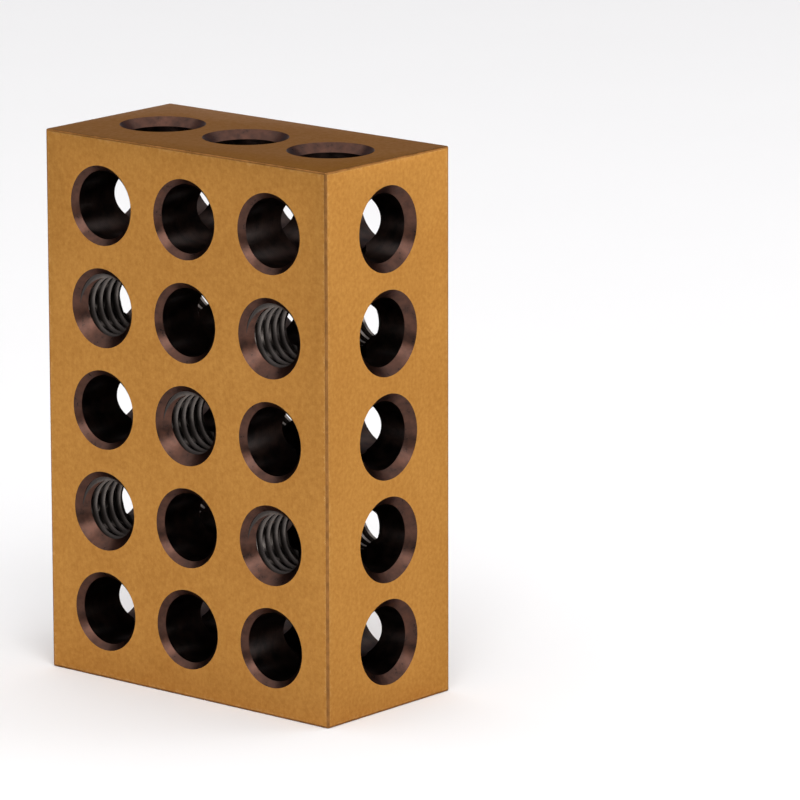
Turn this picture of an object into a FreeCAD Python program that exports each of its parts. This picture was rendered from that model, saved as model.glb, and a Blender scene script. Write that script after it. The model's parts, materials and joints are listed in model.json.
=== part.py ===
import FreeCAD, Part
import os
import Sketcher

# Machinist setup block: one ground block of hardened tool steel, 1 x 2 x 3 inches, drilled through on all
# three axes. It stands on an end face. X runs along the 2 inch width, Y along the 1 inch thickness and Z
# along the 3 inch height. The origin is the middle of the end face that it stands on.
#
# The holes share one grid of columns and rows. The face holes run along Y, the side holes along X and the
# end holes along Z, and all of them meet in the middle of the thickness, so every crossing is open on
# three axes. Each mouth has a 45 degree countersink.

NODE = "setup_block"
SHEET = "Sizes"
COLUMNS = 3
ROWS = 5
TAP_THREAD = ("UNC", "3/8")
COUNTERSINK_ANGLE = 90

# Driving dimensions in millimetres: name in the sheet, value, meaning.
SIZES = (
    ("block_width", 50.8, "along X, side face to side face"),
    ("block_thickness", 25.4, "along Y, broad face to broad face"),
    ("block_height", 76.2, "along Z, end face to end face"),
    ("edge_break", 0.3, "small chamfer on the block's twelve edges"),
    ("column_margin", 10.16, "side face to the middle of the nearest column of holes"),
    ("row_margin", 9.525, "end face to the middle of the nearest row of holes"),
    ("plain_diameter", 9.525, "plain holes, on all three axes"),
    ("face_countersink", 0.79375, "width of the countersink round a plain hole in a broad face"),
    ("side_countersink", 1.190625, "width of the countersink round a hole in a side face"),
    ("end_countersink", 1.190625, "width of the countersink round a hole in an end face"),
    ("tapped_countersink", 1.55, "width of the countersink round a tapped hole, from its tap drill"),
)


def size(name):
    """Gives the expression that reads one size from the sheet."""
    return f"{SHEET}.{name}"


def column_place(column):
    """Gives the distance from the left side face to a column of holes."""
    spread = f"({size('block_width')} - 2 * {size('column_margin')})"
    return f"{size('column_margin')} + {column} * {spread} / {COLUMNS - 1}"


def row_place(row):
    """Gives the height of a row of holes above the lower end face."""
    spread = f"({size('block_height')} - 2 * {size('row_margin')})"
    return f"{size('row_margin')} + {row} * {spread} / {ROWS - 1}"


def mid_thickness():
    """Gives the distance from a broad face to the layer where all the holes meet."""
    return f"{size('block_thickness')} / 2"


def is_tapped(column, row):
    """Tells whether a face hole is tapped: every other one, between the outer rows."""
    return 0 < row < ROWS - 1 and (column + row) % 2 == 1


def make_sheet(doc):
    """Writes the driving dimensions into the spreadsheet, one named cell each."""
    sheet = doc.addObject("Spreadsheet::Sheet", SHEET)
    for line, (name, value, meaning) in enumerate(SIZES, start=1):
        sheet.set(f"A{line}", name)
        sheet.set(f"B{line}", str(value))
        sheet.setAlias(f"B{line}", name)
        sheet.set(f"C{line}", meaning)
    doc.recompute()
    return sheet


def origin_plane(body, role):
    """Finds one of the body's own origin planes by its role."""
    return next(plane for plane in body.Origin.OriginFeatures if plane.Role == role)


def face_sketch(body, name, role, left, bottom, lift):
    """Makes a sketch parallel to an origin plane, with its own origin at a corner of a face."""
    sketch = body.newObject("Sketcher::SketchObject", name)
    sketch.AttachmentSupport = [(origin_plane(body, role), "")]
    sketch.MapMode = "FlatFace"
    sketch.setExpression(".AttachmentOffset.Base.x", left)
    sketch.setExpression(".AttachmentOffset.Base.y", bottom)
    sketch.setExpression(".AttachmentOffset.Base.z", lift)
    return sketch


def bind(sketch, kind, places, name, expression):
    """Adds one named dimension to a sketch and ties it to the sheet."""
    index = sketch.addConstraint(Sketcher.Constraint(kind, *places, 1.0))
    sketch.renameConstraint(index, name)
    sketch.setExpression(f"Constraints.{name}", expression)


def make_blank(body):
    """Pads the block's end face up to its full height and breaks all its edges."""
    outline = face_sketch(body, "end_outline", "XY_Plane",
                          f"-{size('block_width')} / 2", f"-{size('block_thickness')} / 2", "0")
    corners = [(0, 0), (1, 0), (1, 1), (0, 1)]
    for start, end in zip(corners, corners[1:] + corners[:1]):
        outline.addGeometry(Part.LineSegment(FreeCAD.Vector(*start, 0), FreeCAD.Vector(*end, 0)))
    for side in range(4):
        outline.addConstraint(Sketcher.Constraint("Coincident", side, 2, (side + 1) % 4, 1))
        outline.addConstraint(Sketcher.Constraint("Vertical" if side % 2 else "Horizontal", side))
    outline.addConstraint(Sketcher.Constraint("Coincident", 0, 1, -1, 1))
    bind(outline, "DistanceX", (0, 1, 0, 2), "width", size("block_width"))
    bind(outline, "DistanceY", (1, 1, 1, 2), "thickness", size("block_thickness"))
    blank = body.newObject("PartDesign::Pad", "blank")
    blank.Profile = outline
    blank.setExpression("Length", size("block_height"))
    body.Document.recompute()
    broken = body.newObject("PartDesign::Chamfer", "broken_edges")
    broken.Base = (blank, [f"Edge{number}" for number in range(1, len(blank.Shape.Edges) + 1)])
    broken.setExpression("Size", size("edge_break"))
    body.Tip = broken
    body.Document.recompute()


def hole_layout(sketch, centres):
    """Draws one circle for each hole, each centre measured from the face's corner."""
    for index, (across, up) in enumerate(centres):
        circle = Part.Circle(FreeCAD.Vector(index + 1, index + 1, 0), FreeCAD.Vector(0, 0, 1), 1.0)
        sketch.addGeometry(circle)
        bind(sketch, "DistanceX", (-1, 1, index, 3), f"across_{index}", across)
        bind(sketch, "DistanceY", (-1, 1, index, 3), f"up_{index}", up)
        bind(sketch, "Diameter", (index,), f"diameter_{index}", size("plain_diameter"))
    sketch.Document.recompute()


def drill(body, name, layout, countersink, middle, thread=None):
    """Drills a family of through holes and mirrors them, so that both mouths are countersunk.

    A thread stays cosmetic: it sets the hole to the tap drill of that thread.
    """
    holes = body.newObject("PartDesign::Hole", name)
    holes.Profile = layout
    body.Document.recompute()
    if thread:
        holes.ThreadType, holes.ThreadSize = thread
        holes.Threaded = True
    else:
        holes.setExpression("Diameter", size("plain_diameter"))
    holes.HoleCutType = "Countersink"
    holes.HoleCutCountersinkAngle = COUNTERSINK_ANGLE
    holes.DepthType = "ThroughAll"
    holes.setExpression("HoleCutDiameter", f"Diameter + 2 mm * {size(countersink)}")
    body.Document.recompute()
    both = body.newObject("PartDesign::Mirrored", f"{name}_both_mouths")
    both.Originals = [holes]
    both.MirrorPlane = (middle, [""])
    body.Tip = both
    body.Document.recompute()


def drill_faces(body):
    """Drills the holes in the broad faces: plain ones, and the tapped ones between them."""
    grid = [(column, row) for row in range(ROWS) for column in range(COLUMNS)]
    families = (("plain_face_holes", False, "face_countersink", None),
                ("tapped_face_holes", True, "tapped_countersink", TAP_THREAD))
    for name, tapped, countersink, thread in families:
        layout = face_sketch(body, f"{name}_layout", "XZ_Plane",
                             f"-{size('block_width')} / 2", "0", mid_thickness())
        hole_layout(layout, [(column_place(column), row_place(row)) for column, row in grid
                             if is_tapped(column, row) == tapped])
        drill(body, name, layout, countersink, origin_plane(body, "XZ_Plane"), thread)


def drill_sides(body):
    """Drills one hole for each row, from side face to side face."""
    layout = face_sketch(body, "side_holes_layout", "YZ_Plane",
                         f"-{size('block_thickness')} / 2", "0", f"{size('block_width')} / 2")
    hole_layout(layout, [(mid_thickness(), row_place(row)) for row in range(ROWS)])
    drill(body, "side_holes", layout, "side_countersink", origin_plane(body, "YZ_Plane"))


def drill_ends(body):
    """Drills one hole for each column, from end face to end face."""
    layout = face_sketch(body, "end_holes_layout", "XY_Plane", f"-{size('block_width')} / 2",
                         f"-{size('block_thickness')} / 2", size("block_height"))
    hole_layout(layout, [(column_place(column), mid_thickness()) for column in range(COLUMNS)])
    middle = body.newObject("PartDesign::Plane", "mid_height")
    middle.AttachmentSupport = [(origin_plane(body, "XY_Plane"), "")]
    middle.MapMode = "FlatFace"
    middle.setExpression(".AttachmentOffset.Base.z", f"{size('block_height')} / 2")
    drill(body, "end_holes", layout, "end_countersink", middle)


def make_block(doc):
    """Builds the whole block as one body."""
    body = doc.addObject("PartDesign::Body", "Block")
    body.Label = NODE
    body.Placement = FreeCAD.Placement()
    make_blank(body)
    drill_faces(body)
    drill_sides(body)
    drill_ends(body)
    return body


def check(doc, body):
    """Stops the build if any object failed or the block is not one valid solid."""
    for item in doc.Objects:
        if "Invalid" in item.State or "Error" in item.State:
            raise RuntimeError(f"{item.Label} failed: {item.State}")
    if body.Shape.isNull() or not body.Shape.isValid() or len(body.Shape.Solids) != 1:
        raise RuntimeError(f"{body.Label} is not one valid solid")


def main():
    """Builds the block, checks it and writes its STEP file."""
    doc = FreeCAD.newDocument("SetupBlock")
    make_sheet(doc)
    body = make_block(doc)
    doc.recompute()
    check(doc, body)
    os.makedirs("parts", exist_ok=True)
    body.Shape.exportStep(f"parts/{body.Label}.step")
    print(f"{body.Label}: {body.Shape.Volume:.1f} mm3, {len(body.Shape.Faces)} faces")


main()
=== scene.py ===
"""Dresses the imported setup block: ground steel with a satin gold coat, countersunk and tapped holes."""

import json
import logging
import math
from dataclasses import dataclass
from enum import Enum
from typing import Any

import bmesh
import bpy
import numpy as np
from mathutils import Matrix, Vector


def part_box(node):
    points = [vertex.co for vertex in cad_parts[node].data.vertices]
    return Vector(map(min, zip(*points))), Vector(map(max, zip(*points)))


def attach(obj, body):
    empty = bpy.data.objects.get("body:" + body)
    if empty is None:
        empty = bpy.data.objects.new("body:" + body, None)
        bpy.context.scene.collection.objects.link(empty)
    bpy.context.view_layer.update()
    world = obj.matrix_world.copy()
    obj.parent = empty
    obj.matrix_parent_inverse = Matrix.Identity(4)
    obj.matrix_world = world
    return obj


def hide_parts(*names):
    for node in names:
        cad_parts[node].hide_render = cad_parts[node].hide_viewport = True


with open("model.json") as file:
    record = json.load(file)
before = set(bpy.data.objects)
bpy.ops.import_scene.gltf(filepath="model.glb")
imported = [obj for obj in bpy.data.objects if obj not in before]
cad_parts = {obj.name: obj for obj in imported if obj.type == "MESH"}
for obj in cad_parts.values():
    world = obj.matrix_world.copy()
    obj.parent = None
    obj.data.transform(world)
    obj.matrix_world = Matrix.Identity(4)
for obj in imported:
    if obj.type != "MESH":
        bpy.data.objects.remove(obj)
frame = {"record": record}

LOG = logging.getLogger("setup_block")
MM = 0.001
NODE = "setup_block"
BODY = "root"
TOOL_PATH = "tool_path"

Colour = tuple[float, float, float]
Ring = tuple[float, float]


class HoleKind(Enum):
    """What a hole is for, by the kind of its mount in the record."""

    PLAIN = "bore"
    TAPPED = "threaded_hole"


class Zone(Enum):
    """A stretch of the block's surface with a finish of its own; the value is its material slot."""

    GROUND = 0
    BROKEN_EDGE = 1
    COUNTERSINK = 2
    BORE = 3
    THREAD = 4


# ---------------------------------------------------------------------------------------- meshes


def make_object(name: str, points: list[Vector], faces: list[list[int]]) -> bpy.types.Object:
    """Makes a mesh object and links it to the scene.

    Args:
        name: The object's and the mesh's name.
        points: The vertices, in metres.
        faces: Vertex indices of each face.

    Returns:
        The linked object.
    """
    mesh = bpy.data.meshes.new(name)
    mesh.from_pydata([tuple(point) for point in points], [], faces)
    mesh.update()
    thing = bpy.data.objects.new(name, mesh)
    bpy.context.scene.collection.objects.link(thing)
    return thing


def lathe(rings: list[Ring], segments: int, turn: float) -> tuple[list[Vector], list[list[int]]]:
    """Turns a half profile about the Z axis into a closed solid.

    Args:
        rings: Height along the axis and radius of each ring, from one end to the other.
        segments: Facets round the axis.
        turn: Angle of the first facet's edge, in radians.

    Returns:
        The vertices and the faces, with their normals outwards.
    """
    points = []
    for height, radius in rings:
        for step in range(segments):
            angle = turn + math.tau * step / segments
            points.append(Vector((radius * math.cos(angle), radius * math.sin(angle), height)))
    faces = []
    for ring in range(len(rings) - 1):
        for step in range(segments):
            ahead = (step + 1) % segments
            low, high = ring * segments, (ring + 1) * segments
            faces.append([low + step, low + ahead, high + ahead, high + step])
    faces.append(list(reversed(range(segments))))
    faces.append([(len(rings) - 1) * segments + step for step in range(segments)])
    return points, faces


@dataclass(frozen=True)
class ThreadForm:
    """An internal 60 degree thread, in metres.

    Args:
        pitch: Advance in one turn.
        major_radius: Radius at the bottom of the groove.
        root_flat: Width of the flat at the bottom of the groove.
        sunk: How far inside the drilled hole the core's crests stay, clear of its wall.
        flank_angle: Angle of each flank from square to the axis, in radians.
    """

    pitch: float = 25.4 * MM / 16
    major_radius: float = 9.525 * MM / 2
    root_flat: float = 25.4 * MM / 16 / 8
    sunk: float = 0.06 * MM
    flank_angle: float = math.radians(30)

    def profile(self, minor_radius: float) -> list[Ring]:
        """Gives one pitch of the thread.

        Args:
            minor_radius: Radius of the core at the thread's crests.

        Returns:
            Advance from the start of the groove's flat and radius, point by point.
        """
        flank = (self.major_radius - minor_radius) * math.tan(self.flank_angle)
        return [
            (0.0, self.major_radius),
            (self.root_flat, self.major_radius),
            (self.root_flat + flank, minor_radius),
            (self.pitch - flank, minor_radius),
        ]

    def core(self, length: float, minor_radius: float, segments: int) -> tuple[list[Vector], list[list[int]]]:
        """Makes the closed core that cuts a right-hand thread along the Z axis.

        Args:
            length: Least length of full thread, centred on the origin.
            minor_radius: Radius at the crests, which the core's own crests stay under.
            segments: Facets in one turn.

        Returns:
            The vertices and the faces, with their normals outwards.
        """
        profile = self.profile(minor_radius - self.sunk)
        turns = math.ceil(length / self.pitch) + 2
        start = -turns * self.pitch / 2
        rows = len(profile) * turns
        points = []
        for row in range(rows):
            lap, corner = divmod(row, len(profile))
            advance, radius = profile[corner]
            for step in range(segments):
                share = step / segments
                angle = math.tau * share
                height = start + (lap + share) * self.pitch + advance
                points.append(Vector((radius * math.cos(angle), radius * math.sin(angle), height)))

        def at(row: int, step: int) -> int:
            """Gives a vertex's index; one turn on, a row has become the row one pitch higher."""
            return (row + len(profile) * (step // segments)) * segments + step % segments

        faces = []
        last = rows - len(profile) - 1
        for row in range(last):
            for step in range(segments):
                faces.append([at(row, step), at(row, step + 1), at(row + 1, step + 1), at(row + 1, step)])
        used = sorted({index for face in faces for index in face})
        place = {old: new for new, old in enumerate(used)}
        faces = [[place[index] for index in face] for face in faces]
        points = [points[index] for index in used]
        return close_ends(points, faces)


def close_ends(points: list[Vector], faces: list[list[int]]) -> tuple[list[Vector], list[list[int]]]:
    """Closes each open end of a tube along the Z axis with a fan from a point on the axis.

    Args:
        points: The tube's vertices.
        faces: The tube's faces.

    Returns:
        The vertices and faces of the closed solid.
    """
    edges = {(face[i], face[(i + 1) % len(face)]) for face in faces for i in range(len(face))}
    after = {b: a for a, b in edges if (b, a) not in edges}
    points, faces = list(points), list(faces)
    while after:
        loop = [next(iter(after))]
        while after[loop[-1]] != loop[0]:
            loop.append(after[loop[-1]])
        for index in loop:
            del after[index]
        heights = [points[index].z for index in loop]
        middle = len(points)
        points.append(Vector((0.0, 0.0, sum(heights) / len(heights))))
        for index, start in enumerate(loop):
            faces.append([start, loop[(index + 1) % len(loop)], middle])
    return points, faces


# ---------------------------------------------------------------------------------------- the block


@dataclass
class Hole:
    """One through hole with a 45 degree countersink at both mouths.

    Args:
        kind: Plain or tapped.
        centre: Middle of the hole.
        axis: Unit vector along the hole.
        radius: Radius of the plain wall, or at the thread's crests.
        wall: Length between the two countersinks.
        reach: Length through the block.
    """

    kind: HoleKind
    centre: Vector
    axis: Vector
    radius: float
    wall: float
    reach: float

    OVERRUN = 0.5 * MM  # how far the cutters run past the block's faces
    SEGMENTS = 96  # facets round the hole
    FACET_SHIFT = 0.13  # turn of the facets on the X axis, in facets
    AXIS_SHIFT = 0.29  # further turn for each axis after X, in facets

    @property
    def sink(self) -> float:
        """Width, and depth, of each countersink."""
        return (self.reach - self.wall) / 2

    @property
    def lie(self) -> Matrix:
        """Turns the Z axis onto the hole's axis and moves the origin to its middle."""
        return Matrix.Translation(self.centre) @ self.axis.to_track_quat("Z", "Y").to_matrix().to_4x4()

    def turn(self) -> float:
        """Gives the angle of the first facet, another one on each axis, so that no two facets coincide."""
        major = max(range(3), key=lambda index: abs(self.axis[index]))
        return math.tau / self.SEGMENTS * (self.FACET_SHIFT + self.AXIS_SHIFT * major)

    def cutters(self, name: str, thread: ThreadForm) -> list[bpy.types.Object]:
        """Makes the solids that cut the hole.

        Args:
            name: Start of the solids' names.
            thread: The thread of a tapped hole.

        Returns:
            One solid for a plain hole, and one for the mouths and one for the thread of a tapped one.
        """
        half, past = self.reach / 2, self.OVERRUN
        wide, rim = self.radius + self.sink + past, half + past
        rings = [(-rim, wide), (-half + self.sink, self.radius), (half - self.sink, self.radius), (rim, wide)]
        solids = [lathe(rings, self.SEGMENTS, self.turn())]
        if self.kind is HoleKind.TAPPED:
            solids.append(thread.core(self.reach, self.radius, self.SEGMENTS))
        made = []
        for number, (points, faces) in enumerate(solids):
            made.append(make_object(f"{name}_{number}", [self.lie @ point for point in points], faces))
        return made

    def local(self, points: np.ndarray) -> tuple[np.ndarray, np.ndarray, np.ndarray]:
        """Measures points from the hole's own axis.

        Args:
            points: Places in the row frame, one to a line.

        Returns:
            Distance from the axis, distance along it from the middle, and angle round it.
        """
        inverse = np.array(self.lie.inverted())
        near = points @ inverse[:3, :3].T + inverse[:3, 3]
        return np.hypot(near[:, 0], near[:, 1]), near[:, 2], np.arctan2(near[:, 1], near[:, 0])


@dataclass
class SetupBlock:
    """The block as one mesh: the ground blank, its broken edges and all its holes.

    Args:
        low: Lowest corner.
        high: Highest corner.
        holes: Every hole.
        edge_break: Width of the broken edges.
        edge_steps: Facets across each broken edge, which is slightly rounded.
        thread: The thread of the tapped holes.
    """

    low: Vector
    high: Vector
    holes: list[Hole]
    edge_break: float = 0.3 * MM
    edge_steps: int = 3
    thread: ThreadForm = ThreadForm()

    WELD = 0.5e-6  # vertices closer than this are welded
    CREASE = math.radians(28)  # edges that turn more than this stay sharp
    ROUNDNESS = 0.6  # profile of the broken edges
    FLUSH = 0.002 * MM  # a face closer than this to the box lies on the outside
    EDGE_ROOM = 1.05  # reach of the broken edges, in edge breaks
    SQUARE = 0.999  # least share of a ground face's normal along one axis
    MOUTH_DEPTH = 0.02 * MM  # how far past its depth a countersink's face may lie
    MOUTH_GAP = 0.06 * MM  # how far off the cone a countersink's face may lie
    MOUTH_LEAN = 0.1  # how far from 45 degrees its normal may lean, as a cosine

    @classmethod
    def from_frame(cls) -> "SetupBlock":
        """Reads the block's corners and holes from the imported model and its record.

        Returns:
            The block, not yet made.
        """
        low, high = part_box(NODE)
        size = high - low
        holes = []
        kinds = {kind.value: kind for kind in HoleKind}
        for mount in frame["record"]["mounts"]:
            if mount["kind"] not in kinds:
                continue
            axis = Vector(mount["axis"])
            reach = abs(axis.dot(size))
            dims = mount["dims"]
            holes.append(Hole(kinds[mount["kind"]], Vector(mount["pos_m"]), axis,
                              dims["r_mm"] * MM, dims["length_mm"] * MM, reach))
        return cls(low, high, holes)

    def blank(self) -> bpy.types.Object:
        """Makes the block before drilling, with its edges broken.

        Returns:
            The blank.
        """
        mesh = bpy.data.meshes.new("block_body")
        shape = bmesh.new()
        bmesh.ops.create_cube(shape, size=1.0)
        size, middle = self.high - self.low, (self.high + self.low) / 2
        bmesh.ops.scale(shape, vec=size, verts=shape.verts)
        bmesh.ops.translate(shape, vec=middle, verts=shape.verts)
        bmesh.ops.bevel(shape, geom=shape.edges, offset=self.edge_break, segments=self.edge_steps,
                        profile=self.ROUNDNESS, affect="EDGES", clamp_overlap=True)
        bmesh.ops.recalc_face_normals(shape, faces=shape.faces)
        shape.to_mesh(mesh)
        shape.free()
        thing = bpy.data.objects.new("block_body", mesh)
        bpy.context.scene.collection.objects.link(thing)
        return thing

    def drill(self, blank: bpy.types.Object) -> None:
        """Cuts every hole out of the blank.

        Args:
            blank: The block before drilling. It keeps its name and gets the drilled mesh.
        """
        cutters = []
        for number, hole in enumerate(self.holes):
            cutters += hole.cutters(f"cutter_{number}", self.thread)
        for cutter in cutters:
            cut = blank.modifiers.new(cutter.name, "BOOLEAN")
            cut.operation = "DIFFERENCE"
            cut.solver = "MANIFOLD"
            cut.object = cutter
        graph = bpy.context.evaluated_depsgraph_get()
        drilled = bpy.data.meshes.new_from_object(blank.evaluated_get(graph))
        blank.modifiers.clear()
        plain = blank.data
        blank.data = drilled
        drilled.name = blank.name
        bpy.data.meshes.remove(plain)
        drilled.materials.clear()
        for cutter in cutters:
            mesh = cutter.data
            bpy.data.objects.remove(cutter)
            bpy.data.meshes.remove(mesh)

    def clean(self, thing: bpy.types.Object) -> None:
        """Welds the slivers that cutting leaves and marks the sharp edges.

        Args:
            thing: The drilled block.
        """
        shape = bmesh.new()
        shape.from_mesh(thing.data)
        bmesh.ops.remove_doubles(shape, verts=shape.verts, dist=self.WELD)
        bmesh.ops.dissolve_degenerate(shape, edges=shape.edges, dist=self.WELD)
        shape.to_mesh(thing.data)
        shape.free()
        thing.data.shade_smooth()
        thing.data.set_sharp_from_angle(angle=self.CREASE)

    def sort_faces(self, thing: bpy.types.Object) -> None:
        """Gives each face its zone, and each face corner its place on its own hole.

        The place is kept in the attribute "tool_path": distance from the hole's axis, distance along it and
        angle round it, each in millimetres at the wall.

        Args:
            thing: The drilled block.
        """
        mesh = thing.data
        count = len(mesh.polygons)
        centres = np.empty(count * 3)
        normals = np.empty(count * 3)
        mesh.polygons.foreach_get("center", centres)
        mesh.polygons.foreach_get("normal", normals)
        centres, normals = centres.reshape(-1, 3), normals.reshape(-1, 3)
        outer = self.on_outside(centres)
        best = np.full(count, np.inf)
        owner = np.zeros(count, int)
        zone = np.where(self.on_flat(centres, normals), Zone.GROUND.value, Zone.BROKEN_EDGE.value)
        for number, hole in enumerate(self.holes):
            radius, along, _ = hole.local(centres)
            lean = np.abs(normals @ np.array(hole.axis))
            depth = hole.reach / 2 - np.abs(along)
            off = np.abs(radius - (hole.radius + hole.sink - depth))
            mouth = (depth < hole.sink + self.MOUTH_DEPTH) & (off < self.MOUTH_GAP)
            mouth &= np.abs(lean - math.sqrt(0.5)) < self.MOUTH_LEAN
            widest = self.thread.major_radius if hole.kind is HoleKind.TAPPED else hole.radius
            wall = np.maximum(np.maximum(hole.radius - radius, radius - widest), 0)
            if hole.kind is HoleKind.PLAIN:
                wall = wall + lean * MM
            gap = np.where(mouth, -1.0, wall)
            kind = np.where(mouth, Zone.COUNTERSINK.value, self.wall_zone(hole).value)
            closer = ~outer & (gap < best)
            best[closer], owner[closer], zone[closer] = gap[closer], number, kind[closer]
        mesh.polygons.foreach_set("material_index", zone.astype(np.int32))
        self.mark_tool_path(mesh, owner)
        LOG.info("faces by zone: %s", {item.name: int((zone == item.value).sum()) for item in Zone})

    def wall_zone(self, hole: Hole) -> Zone:
        """Gives the zone of a hole's wall."""
        return Zone.THREAD if hole.kind is HoleKind.TAPPED else Zone.BORE

    def on_outside(self, points: np.ndarray) -> np.ndarray:
        """Tells which points lie on the block's outside, its broken edges included."""
        gaps = self.gaps(points)
        return (gaps[:, 0] < self.FLUSH) | (gaps.sum(axis=1) - gaps[:, 2] < self.edge_break * self.EDGE_ROOM)

    def on_flat(self, points: np.ndarray, normals: np.ndarray) -> np.ndarray:
        """Tells which points lie on one of the six ground faces."""
        return (self.gaps(points)[:, 0] < self.FLUSH) & (np.abs(normals).max(axis=1) > self.SQUARE)

    def gaps(self, points: np.ndarray) -> np.ndarray:
        """Gives each point's distances from the nearer face on each axis, the smallest first."""
        low, high = np.array(self.low), np.array(self.high)
        return np.sort(np.minimum(points - low, high - points), axis=1)

    def mark_tool_path(self, mesh: bpy.types.Mesh, owner: np.ndarray) -> None:
        """Writes each face corner's place on its own hole.

        Args:
            mesh: The drilled block's mesh.
            owner: The number of each face's hole.
        """
        places = np.empty(len(mesh.vertices) * 3)
        mesh.vertices.foreach_get("co", places)
        places = places.reshape(-1, 3)
        corners = np.empty(len(mesh.loops), np.int32)
        mesh.loops.foreach_get("vertex_index", corners)
        starts = np.empty(len(mesh.polygons), np.int32)
        totals = np.empty(len(mesh.polygons), np.int32)
        mesh.polygons.foreach_get("loop_start", starts)
        mesh.polygons.foreach_get("loop_total", totals)
        face_of = np.repeat(np.arange(len(totals)), totals)
        first = np.repeat(starts, totals)
        path = np.zeros((len(corners), 3))
        for number, hole in enumerate(self.holes):
            mine = owner[face_of] == number
            radius, along, angle = hole.local(places[corners])
            step = (angle - angle[first] + math.pi) % math.tau - math.pi
            unrolled = (angle[first] + step) * hole.radius
            path[mine] = np.stack([radius, along, unrolled], axis=1)[mine] / MM
        mark = mesh.attributes.new(TOOL_PATH, "FLOAT_VECTOR", "CORNER")
        mark.data.foreach_set("vector", path.ravel())

    def build(self) -> bpy.types.Object:
        """Makes the finished mesh of the block.

        Returns:
            The block, with its faces sorted into zones.
        """
        thing = self.blank()
        self.drill(thing)
        self.clean(thing)
        self.sort_faces(thing)
        return thing


# ---------------------------------------------------------------------------------------- finishes


class Board:
    """A material's node tree, with short ways to add and join nodes."""

    OIL_ROUGHNESS = 0.3

    def __init__(self, name: str) -> None:
        """Makes an empty material.

        Args:
            name: The material's name.
        """
        self.material = bpy.data.materials.new(name)
        self.material.use_nodes = True
        self.tree = self.material.node_tree
        self.tree.nodes.clear()

    def node(self, kind: str, **settings: Any) -> bpy.types.Node:
        """Adds a node.

        Args:
            kind: The node's type.
            settings: Values of its own properties.

        Returns:
            The new node.
        """
        made = self.tree.nodes.new(kind)
        for name, value in settings.items():
            setattr(made, name, value)
        return made

    def feed(self, socket: bpy.types.NodeSocket, value: Any) -> None:
        """Joins a socket to another, or sets its value.

        Args:
            socket: An input.
            value: An output to join it to, or a plain value.
        """
        if isinstance(value, bpy.types.NodeSocket):
            self.tree.links.new(value, socket)
        else:
            socket.default_value = value

    def math(self, operation: str, *values: Any, clamp: bool = False) -> bpy.types.NodeSocket:
        """Adds one sum.

        Args:
            operation: Which sum.
            values: Its inputs, in order.
            clamp: Whether the result is kept from 0 to 1.

        Returns:
            The result.
        """
        made = self.node("ShaderNodeMath", operation=operation, use_clamp=clamp)
        for socket, value in zip(made.inputs, values):
            self.feed(socket, value)
        return made.outputs[0]

    def vector(self, operation: str, *values: Any) -> bpy.types.NodeSocket:
        """Adds one sum of vectors.

        Args:
            operation: Which sum.
            values: Its inputs, in order.

        Returns:
            The result.
        """
        made = self.node("ShaderNodeVectorMath", operation=operation)
        for socket, value in zip(made.inputs, values):
            self.feed(socket, value)
        return made.outputs[0]

    def places(self) -> bpy.types.NodeSocket:
        """Gives the place on the object in millimetres."""
        return self.vector("MULTIPLY", self.node("ShaderNodeTexCoord").outputs["Object"], (1 / MM,) * 3)

    def tool_path(self) -> tuple[bpy.types.NodeSocket, ...]:
        """Reads the place on its own hole.

        Returns:
            Distance from the hole's axis, along it and round it, in millimetres.
        """
        mark = self.node("ShaderNodeAttribute", attribute_name=TOOL_PATH)
        split = self.node("ShaderNodeSeparateXYZ")
        self.feed(split.inputs[0], mark.outputs["Vector"])
        return tuple(split.outputs)

    def noise(self, places: bpy.types.NodeSocket, scale: Any, detail: float = 3.0,
              roughness: float = 0.55) -> bpy.types.NodeSocket:
        """Adds a noise.

        Args:
            places: Where it is read, in millimetres.
            scale: Waves to the millimetre, one number or one for each axis.
            detail: Octaves.
            roughness: Share of the finer octaves.

        Returns:
            A value around 0.5.
        """
        if isinstance(scale, tuple):
            places, scale = self.vector("MULTIPLY", places, scale), 1.0
        made = self.node("ShaderNodeTexNoise")
        self.feed(made.inputs["Vector"], places)
        made.inputs["Scale"].default_value = scale
        made.inputs["Detail"].default_value = detail
        made.inputs["Roughness"].default_value = roughness
        return made.outputs["Fac"]

    def stretch(self, value: bpy.types.NodeSocket, low: float, high: float, start: float = 0.0,
                end: float = 1.0) -> bpy.types.NodeSocket:
        """Maps one range onto another and stops at its ends.

        Args:
            value: What is mapped.
            low: Start of the range that is read.
            high: End of the range that is read.
            start: Result at low.
            end: Result at high.

        Returns:
            The mapped value.
        """
        made = self.node("ShaderNodeMapRange", clamp=True)
        for name, item in (("Value", value), ("From Min", low), ("From Max", high), ("To Min", start),
                           ("To Max", end)):
            self.feed(made.inputs[name], item)
        return made.outputs["Result"]

    def blend(self, share: Any, first: Any, second: Any) -> bpy.types.NodeSocket:
        """Mixes two colours.

        Args:
            share: Share of the second colour.
            first: A colour or an output.
            second: A colour or an output.

        Returns:
            The mixed colour.
        """
        made = self.node("ShaderNodeMix", data_type="RGBA")
        self.feed(made.inputs["Factor"], share)
        for name, colour in (("A", first), ("B", second)):
            socket = next(s for s in made.inputs if s.name == name and s.type == "RGBA")
            self.feed(socket, (*colour, 1.0) if isinstance(colour, tuple) else colour)
        return next(s for s in made.outputs if s.type == "RGBA")

    def bump(self, height: bpy.types.NodeSocket, depth: float, strength: float,
             under: Any = None) -> bpy.types.NodeSocket:
        """Adds a relief.

        Args:
            height: The relief, from 0 to 1.
            depth: Its depth in metres.
            strength: How much of it shows.
            under: The normal that it is laid over.

        Returns:
            The new normal.
        """
        made = self.node("ShaderNodeBump")
        made.inputs["Distance"].default_value = depth
        made.inputs["Strength"].default_value = strength
        self.feed(made.inputs["Height"], height)
        if under is not None:
            self.feed(made.inputs["Normal"], under)
        return made.outputs["Normal"]

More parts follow.
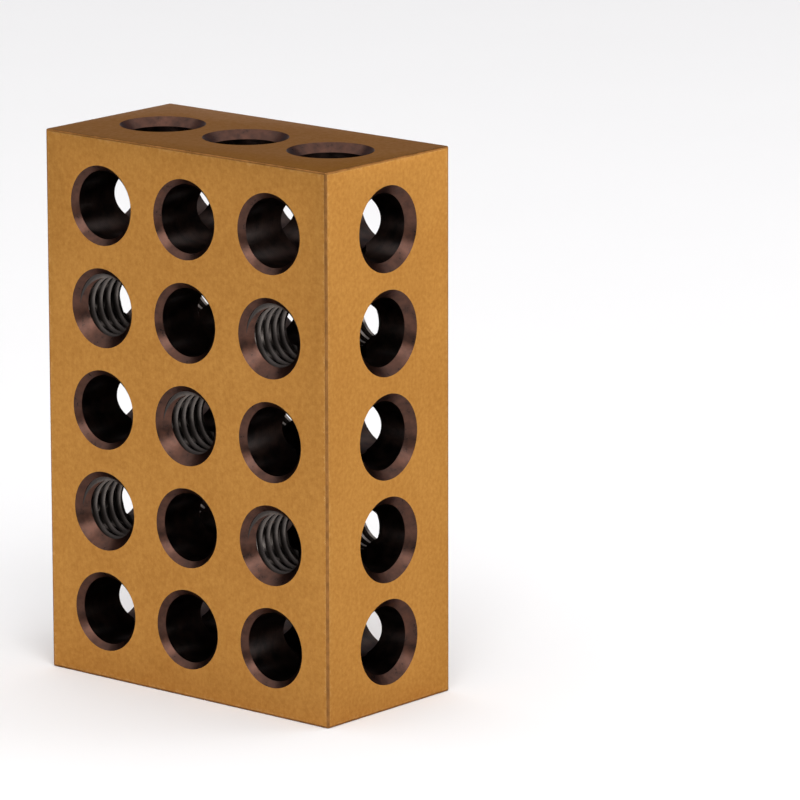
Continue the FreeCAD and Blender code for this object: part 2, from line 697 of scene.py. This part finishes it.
    def metal(self, colour: Any, roughness: Any, normal: Any, edge_tint: Colour,
              oil: float = 0.0) -> bpy.types.Material:
        """Ends the tree with a metal surface.

        Args:
            colour: Base colour.
            roughness: Roughness.
            normal: Normal.
            edge_tint: Colour at a grazing angle.
            oil: How much of a clear film of oil lies on it.

        Returns:
            The finished material.
        """
        shader = self.node("ShaderNodeBsdfPrincipled")
        shader.inputs["Metallic"].default_value = 1.0
        shader.inputs["Coat Weight"].default_value = oil
        shader.inputs["Coat Roughness"].default_value = self.OIL_ROUGHNESS
        shader.inputs["Specular Tint"].default_value = (*edge_tint, 1.0)
        for name, value in (("Base Color", colour), ("Roughness", roughness), ("Normal", normal)):
            self.feed(shader.inputs[name], value)
        end = self.node("ShaderNodeOutputMaterial")
        self.feed(end.inputs["Surface"], shader.outputs["BSDF"])
        return self.material


@dataclass(frozen=True)
class GroundCoat:
    """The satin gold coat on the ground faces, with the grinding lay, a fine mottle and a lighter band along
    the edges that is partly rub and partly painted highlight.

    Args:
        low: Lowest corner of the block, in metres.
        high: Highest corner of the block, in metres.
        light: Colour of the brighter grains.
        dark: Colour of the darker grains.
        rubbed: Colour of the lighter band along the edges, partly rub and partly painted highlight.
        edge_tint: Colour at a grazing angle.
        roughness: Mean roughness.
        rub: How much of that lighter edge colour, rub and painted highlight, shows at most.
        shares: Shares of the grain, the clouds and the grinding lay in the mottle.
    """

    low: Vector
    high: Vector
    light: Colour = (0.515, 0.249, 0.059)
    dark: Colour = (0.410, 0.181, 0.039)
    # lighter edge colour: partly rub, partly painted highlight
    rubbed: Colour = (0.58, 0.36, 0.16)
    edge_tint: Colour = (0.75, 0.55, 0.42)
    roughness: float = 0.34
    rub: float = 0.35
    shares: tuple[float, float, float] = (0.62, 0.25, 0.13)

    def material(self) -> bpy.types.Material:
        """Makes the material.

        Returns:
            The finished material.
        """
        board = Board("ground_gold_coat")
        places = board.places()
        grain = board.noise(places, 1.7, 5.0, 0.62)
        cloud = board.noise(places, 0.07, 2.0)
        upright = board.noise(places, (7.0, 7.0, 0.10), 4.0)
        across = board.noise(places, (0.10, 7.0, 7.0), 4.0)
        facing = board.node("ShaderNodeSeparateXYZ")
        board.feed(facing.inputs[0], board.node("ShaderNodeNewGeometry").outputs["True Normal"])
        on_end = board.math("GREATER_THAN", board.math("ABSOLUTE", facing.outputs["Z"]), 0.5)
        lay = board.math("ADD", board.math("MULTIPLY", across, on_end),
                         board.math("MULTIPLY", upright, board.math("SUBTRACT", 1.0, on_end)))
        layers = zip((grain, cloud, lay), self.shares)
        parts = [board.math("MULTIPLY", layer, share) for layer, share in layers]
        mixed = board.math("ADD", board.math("ADD", parts[0], parts[1]), parts[2])
        colour = board.blend(board.stretch(mixed, 0.36, 0.64), self.dark, self.light)
        # lighter colour along the edges: partly rub, partly painted highlight
        rub_and_highlight = self.edge_rub_and_highlight(board, places, grain)
        colour = board.blend(board.math("MULTIPLY", rub_and_highlight, self.rub), colour, self.rubbed)
        roughness = board.stretch(grain, 0.3, 0.7, self.roughness + 0.05, self.roughness - 0.05)
        roughness = board.math("SUBTRACT", roughness, board.math("MULTIPLY", rub_and_highlight, 0.06))
        normal = board.bump(grain, 0.012 * MM, 0.55)
        normal = board.bump(lay, 0.006 * MM, 0.5, normal)
        return board.metal(colour, roughness, normal, self.edge_tint)

    def edge_rub_and_highlight(self, board: Board, places: bpy.types.NodeSocket,
                  grain: bpy.types.NodeSocket) -> bpy.types.NodeSocket:
        """Gives the lighter band along the block's edges, partly rub and partly painted highlight, from 0 to
        1.

        Args:
            board: The material's nodes.
            places: Place on the block, in millimetres.
            grain: A noise that frays the band's border.

        Returns:
            How strongly each place takes the lighter edge colour.
        """
        half = (self.high - self.low) / 2 / MM
        middle = (self.high + self.low) / 2 / MM
        split = board.node("ShaderNodeSeparateXYZ")
        board.feed(split.inputs[0], places)
        gaps = []
        for index in range(3):
            away = board.math("ABSOLUTE", board.math("SUBTRACT", split.outputs[index], middle[index]))
            gaps.append(board.math("SUBTRACT", half[index], away))
        small = board.math("MINIMUM", gaps[0], gaps[1])
        large = board.math("MAXIMUM", gaps[0], gaps[1])
        second = board.math("MAXIMUM", small, board.math("MINIMUM", large, gaps[2]))
        reach = board.stretch(grain, 0.35, 0.65, 0.15, 0.9)
        return board.math("SUBTRACT", 1.0, board.math("DIVIDE", second, reach), clamp=True)


@dataclass(frozen=True)
class EdgeCoat:
    """The stoned coat on the broken edges, painted darker and browner than the faces as painted shade for the
    dark reflection along the edges.

    Args:
        light: Colour of the brighter patches.
        dark: Colour of the darker patches.
        edge_tint: Colour at a grazing angle.
    """

    # both colours are darker than the ground coat: painted shade for the dark reflection along the edges
    light: Colour = (0.34, 0.155, 0.046)
    dark: Colour = (0.23, 0.105, 0.032)
    edge_tint: Colour = (0.7, 0.5, 0.4)

    def material(self) -> bpy.types.Material:
        """Makes the material.

        Returns:
            The finished material.
        """
        board = Board("stoned_edge_painted_shade")
        places = board.places()
        rub = board.noise(places, 0.9, 4.0)
        fine = board.noise(places, 6.0, 3.0)
        # painted shade: the edges' darker colour stands for their dark reflection
        colour = board.blend(board.stretch(rub, 0.35, 0.65), self.dark, self.light)
        roughness = board.stretch(fine, 0.3, 0.7, 0.28, 0.42)
        normal = board.bump(fine, 0.01 * MM, 0.5)
        return board.metal(colour, roughness, normal, self.edge_tint)


@dataclass(frozen=True)
class SinkCoat:
    """The brown coat on the turned countersinks, with the cutter's rings.

    Args:
        light: Colour of the brighter patches.
        dark: Colour of the darker patches.
        edge_tint: Colour at a grazing angle.
        oil: How much of a film of oil lies on it.
        ring_pitch: Distance between the cutter's rings, in millimetres.
    """

    light: Colour = (0.085, 0.032, 0.018)
    dark: Colour = (0.042, 0.015, 0.008)
    edge_tint: Colour = (0.4, 0.3, 0.28)
    oil: float = 0.42
    ring_pitch: float = 0.11

    def material(self) -> bpy.types.Material:
        """Makes the material.

        Returns:
            The finished material.
        """
        board = Board("turned_brown_coat")
        places = board.places()
        radius, _, _ = board.tool_path()
        rings = board.math("SINE", board.math("MULTIPLY", radius, math.tau / self.ring_pitch))
        rings = board.stretch(rings, -1.0, 1.0)
        patch = board.noise(places, 0.8, 4.0)
        colour = board.blend(board.stretch(patch, 0.35, 0.65), self.dark, self.light)
        roughness = board.stretch(patch, 0.3, 0.7, 0.26, 0.38)
        normal = board.bump(rings, 0.006 * MM, 0.5)
        normal = board.bump(board.noise(places, 5.0, 3.0), 0.01 * MM, 0.4, normal)
        return board.metal(colour, roughness, normal, self.edge_tint, self.oil)


@dataclass(frozen=True)
class BoreScale:
    """The near-black scale in the drilled bores, with a spiral drill mark.

    Args:
        light: Colour of the brighter patches.
        dark: Colour of the darker patches.
        edge_tint: Colour at a grazing angle.
        oil: How much of a film of oil lies on it.
        lead: Climb of the drill mark for each millimetre round the bore.
        mark_pitch: Distance between its turns, in millimetres.
    """

    light: Colour = (0.040, 0.022, 0.017)
    dark: Colour = (0.010, 0.006, 0.005)
    edge_tint: Colour = (0.45, 0.38, 0.36)
    oil: float = 0.3
    lead: float = 0.012
    mark_pitch: float = 0.36

    def material(self) -> bpy.types.Material:
        """Makes the material.

        Returns:
            The finished material.
        """
        board = Board("drilled_scale")
        places = board.places()
        _, along, around = board.tool_path()
        climb = board.math("ADD", along, board.math("MULTIPLY", around, self.lead))
        spiral = board.math("SINE", board.math("MULTIPLY", climb, math.tau / self.mark_pitch))
        spiral = board.stretch(spiral, -1.0, 1.0)
        patch = board.noise(places, 0.6, 5.0)
        colour = board.blend(board.stretch(patch, 0.35, 0.65), self.dark, self.light)
        roughness = board.stretch(patch, 0.3, 0.7, 0.30, 0.46)
        normal = board.bump(spiral, 0.008 * MM, 0.5)
        normal = board.bump(board.noise(places, 3.0, 4.0), 0.02 * MM, 0.4, normal)
        return board.metal(colour, roughness, normal, self.edge_tint, self.oil)


@dataclass(frozen=True)
class ThreadSteel:
    """The tapped threads: dark in the grooves and rubbed brighter on the crests.

    Args:
        crest_radius: Radius at the crests, in metres.
        root_radius: Radius at the bottom of the grooves, in metres.
        crest: Colour of the crests.
        groove: Colour in the grooves.
        edge_tint: Colour at a grazing angle.
        oil: How much of a film of oil lies on it.
    """

    crest_radius: float
    root_radius: float
    crest: Colour = (0.12, 0.10, 0.088)
    groove: Colour = (0.020, 0.013, 0.010)
    edge_tint: Colour = (0.5, 0.45, 0.42)
    oil: float = 0.8

    def material(self) -> bpy.types.Material:
        """Makes the material.

        Returns:
            The finished material.
        """
        board = Board("tapped_steel")
        places = board.places()
        radius, _, _ = board.tool_path()
        depth = board.stretch(radius, self.crest_radius / MM, self.root_radius / MM)
        patch = board.noise(places, 1.3, 4.0)
        rubbed = board.stretch(board.math("ADD", depth, board.math("MULTIPLY", patch, 0.35)), 0.2, 0.85)
        colour = board.blend(rubbed, self.crest, self.groove)
        roughness = board.stretch(rubbed, 0.0, 1.0, 0.24, 0.45)
        normal = board.bump(board.noise(places, 6.0, 3.0), 0.012 * MM, 0.4)
        return board.metal(colour, roughness, normal, self.edge_tint, self.oil)


@dataclass(frozen=True)
class FloorPaper:
    """The plain pale paper that the block stands on.

    Args:
        colour: Colour of the paper.
        shade: How light its darker fibres are, as a share of the colour.
    """

    colour: Colour = (0.91, 0.91, 0.91)
    shade: float = 0.985

    def material(self) -> bpy.types.Material:
        """Makes the material.

        Returns:
            The finished material.
        """
        board = Board("floor_paper")
        fibre = board.noise(board.places(), 0.02, 2.0)
        darker = tuple(self.shade * part for part in self.colour)
        shader = board.node("ShaderNodeBsdfPrincipled")
        board.feed(shader.inputs["Base Color"], board.blend(fibre, darker, self.colour))
        shader.inputs["Roughness"].default_value = 0.9
        shader.inputs["Specular IOR Level"].default_value = 0.2
        end = board.node("ShaderNodeOutputMaterial")
        board.feed(end.inputs["Surface"], shader.outputs["BSDF"])
        return board.material


# ---------------------------------------------------------------------------------------- the studio


@dataclass(frozen=True)
class Softbox:
    """A square lamp that faces a point.

    Args:
        name: The lamp's name.
        azimuth: Where it hangs, in degrees from the -Y side towards +X.
        elevation: Height above the horizon, in degrees.
        distance: From the point that it faces, in metres.
        side: Length of its side, in metres.
        radiance: How bright its face is.
    """

    name: str
    azimuth: float
    elevation: float
    distance: float
    side: float
    radiance: float

    def hang(self, aim: Vector) -> None:
        """Makes the lamp.

        Args:
            aim: The point that it faces.
        """
        lamp = bpy.data.lights.new(self.name, "AREA")
        lamp.shape = "SQUARE"
        lamp.size = self.side
        lamp.energy = self.radiance * math.pi * self.side ** 2
        back = direction(self.azimuth, self.elevation)
        thing = bpy.data.objects.new(self.name, lamp)
        thing.location = aim + back * self.distance
        thing.rotation_euler = back.to_track_quat("Z", "Y").to_euler()
        bpy.context.scene.collection.objects.link(thing)


@dataclass(frozen=True)
class Studio:
    """The floor, the lamps and the dim room round them.

    Args:
        floor_side: Length of the floor's side, in metres.
        lamps: Every lamp.
        room: Colour of the dim room.
        cove: Colour of the low pale cove round the floor.
        cove_top: Height of the cove's upper edge above the horizon, in degrees.
    """

    floor_side: float = 9.0
    lamps: tuple[Softbox, ...] = (
        Softbox("canopy", 41.0, 88.0, 1.5, 3.2, 1.04),
        Softbox("key", 48.0, 47.0, 1.2, 0.7, 4.2),
        Softbox("low_side", 139.0, 14.0, 0.9, 0.4, 2.6),
    )
    room: Colour = (0.28, 0.27, 0.28)
    cove: Colour = (0.80, 0.80, 0.80)
    cove_top: float = 3.5

    def floor(self) -> None:
        """Lays the floor at the foot of the block."""
        half = self.floor_side / 2
        signs = ((-1, -1), (1, -1), (1, 1), (-1, 1))
        corners = [Vector((x * half, y * half, 0.0)) for x, y in signs]
        thing = make_object("floor", corners, [[0, 1, 2, 3]])
        thing.data.materials.append(FloorPaper().material())

    def world(self) -> None:
        """Makes the dim room, with a pale cove along the horizon."""
        world = bpy.data.worlds.new("room")
        bpy.context.scene.world = world
        world.use_nodes = True
        tree = world.node_tree
        tree.nodes.clear()
        where = tree.nodes.new("ShaderNodeTexCoord")
        split = tree.nodes.new("ShaderNodeSeparateXYZ")
        rise = tree.nodes.new("ShaderNodeMapRange")
        mix = tree.nodes.new("ShaderNodeMix")
        mix.data_type = "RGBA"
        glow = tree.nodes.new("ShaderNodeBackground")
        end = tree.nodes.new("ShaderNodeOutputWorld")
        top = math.sin(math.radians(self.cove_top))
        rise.inputs["From Min"].default_value = top
        rise.inputs["From Max"].default_value = top * 2
        colours = [socket for socket in mix.inputs if socket.type == "RGBA"]
        colours[0].default_value = (*self.cove, 1.0)
        colours[1].default_value = (*self.room, 1.0)
        tree.links.new(where.outputs["Generated"], split.inputs[0])
        tree.links.new(split.outputs["Z"], rise.inputs["Value"])
        tree.links.new(rise.outputs["Result"], mix.inputs["Factor"])
        tree.links.new(next(s for s in mix.outputs if s.type == "RGBA"), glow.inputs["Color"])
        tree.links.new(glow.outputs["Background"], end.inputs["Surface"])

    def build(self, aim: Vector) -> None:
        """Builds the whole studio.

        Args:
            aim: The point that the lamps face.
        """
        self.floor()
        self.world()
        for lamp in self.lamps:
            lamp.hang(aim)


@dataclass(frozen=True)
class Camera:
    """A long lens, turned aside so that the block stands left of the middle.

    Args:
        azimuth: Where it stands, in degrees from the -Y side towards +X.
        elevation: Height above the horizon, in degrees.
        distance: From the middle of the block, in metres.
        lens: Focal length in millimetres.
        across: Place of the block's middle in the frame, in frame widths right of the centre.
        up: Place of the block's middle in the frame, in frame widths above the centre.
        roll: Tilt about the line of sight, in degrees.
    """

    azimuth: float = 41.69
    elevation: float = 12.94
    distance: float = 0.894
    lens: float = 293.0
    across: float = -0.1904
    up: float = -0.0112
    roll: float = 0.426

    SENSOR = 36.0  # width, in millimetres
    CLIP = (0.05, 20.0)  # nearest and farthest, in metres

    def place(self, aim: Vector) -> None:
        """Makes the camera and gives it to the scene.

        Args:
            aim: Middle of the block.
        """
        data = bpy.data.cameras.new("camera")
        data.lens = self.lens
        data.sensor_width = self.SENSOR
        data.clip_start, data.clip_end = self.CLIP
        thing = bpy.data.objects.new("camera", data)
        back = direction(self.azimuth, self.elevation)
        square = back.to_track_quat("Z", "Y").to_matrix()
        reach = self.lens / self.SENSOR
        pan = math.atan2(self.across, reach)
        tilt = math.asin(self.up / math.hypot(self.across, self.up, reach))
        aside = Matrix.Rotation(pan, 3, "Y") @ Matrix.Rotation(-tilt, 3, "X")
        turned = square @ aside @ Matrix.Rotation(-math.radians(self.roll), 3, "Z")
        thing.matrix_world = Matrix.Translation(aim + back * self.distance) @ turned.to_4x4()
        bpy.context.scene.collection.objects.link(thing)
        bpy.context.scene.camera = thing


def direction(azimuth: float, elevation: float) -> Vector:
    """Gives a unit vector.

    Args:
        azimuth: Degrees from the -Y side towards +X.
        elevation: Degrees above the horizon.

    Returns:
        The vector, from the block outwards.
    """
    turn, rise = math.radians(azimuth), math.radians(elevation)
    return Vector((math.sin(turn) * math.cos(rise), -math.cos(turn) * math.cos(rise), math.sin(rise)))


# ---------------------------------------------------------------------------------------- the job


def dress(block: SetupBlock) -> bpy.types.Object:
    """Builds the block's mesh and gives every zone its finish.

    Args:
        block: The block.

    Returns:
        The dressed object.
    """
    thing = block.build()
    tapped = next(hole for hole in block.holes if hole.kind is HoleKind.TAPPED)
    finishes = {
        Zone.GROUND: GroundCoat(block.low, block.high),
        Zone.BROKEN_EDGE: EdgeCoat(),
        Zone.COUNTERSINK: SinkCoat(),
        Zone.BORE: BoreScale(),
        Zone.THREAD: ThreadSteel(tapped.radius, block.thread.major_radius),
    }
    for zone in Zone:
        thing.data.materials.append(finishes[zone].material())
    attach(thing, BODY)
    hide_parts(NODE)
    return thing


def main() -> None:
    """Builds the block, the studio and the camera."""
    logging.basicConfig(level=logging.INFO, format="%(name)s: %(message)s")
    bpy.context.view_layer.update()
    block = SetupBlock.from_frame()
    thing = dress(block)
    LOG.info("%s: %d faces, %d holes", thing.name, len(thing.data.polygons), len(block.holes))
    middle = (block.low + block.high) / 2
    studio = Studio()
    studio.build(middle)
    LOG.info("studio: floor and %d lamps", len(studio.lamps))
    Camera().place(middle)
    bpy.context.scene.view_settings.view_transform = "Standard"


if __name__ == "__main__":
    main()
